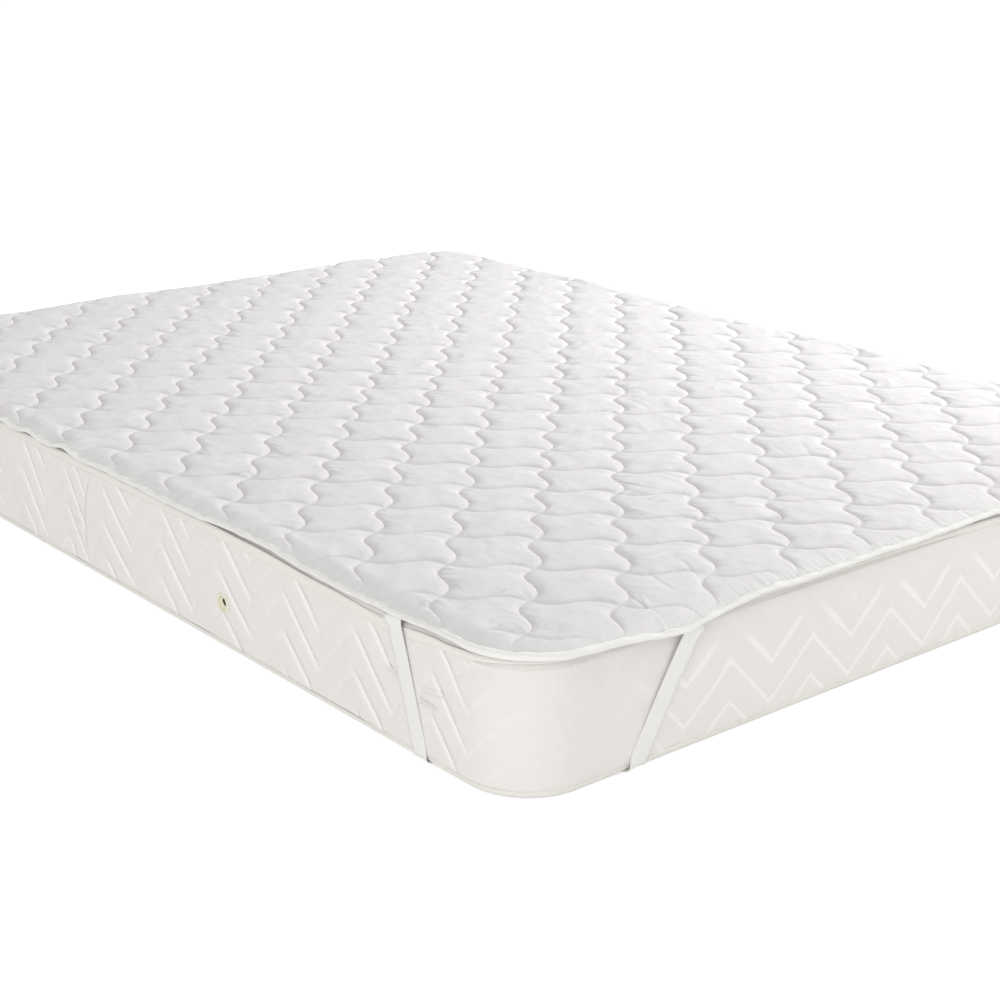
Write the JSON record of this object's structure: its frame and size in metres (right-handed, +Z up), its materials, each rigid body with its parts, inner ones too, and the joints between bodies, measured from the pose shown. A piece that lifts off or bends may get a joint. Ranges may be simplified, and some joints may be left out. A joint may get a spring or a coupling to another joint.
{
  "type": "quilted mattress protector on a mattress",
  "caption": "Quilted mattress protector with a bound rim and elastic corner bands, lying on a plain bed mattress.",
  "frame": {"origin": "middle of the mattress's underside, on the surface that it rests on", "axes": "+X across the mattress, +Y along it, +Z up"},
  "size_m": [1.423, 1.9272, 0.1889],
  "materials": {
    "quilted_cotton": "matt brushed cotton and polyester, quilted",
    "binding_tape": "matt woven tape",
    "elastic": "matt ribbed elastic",
    "mattress_ticking": "satin jacquard, quilted in zigzags",
    "mattress_tape": "ribbed woven tape",
    "vent_plastic": "satin moulded"
  },
  "bodies": {
    "root": {"quilted_pad": "quilted_cotton", "edge_binding": "binding_tape", "corner_band_front_left": "elastic", "corner_band_front_right": "elastic", "corner_band_back_right": "elastic", "corner_band_back_left": "elastic", "mattress_body": "mattress_ticking", "mattress_top_tape": "mattress_tape", "mattress_bottom_tape": "mattress_tape", "mattress_air_vent": "vent_plastic"}
  },
  "joints": []
}
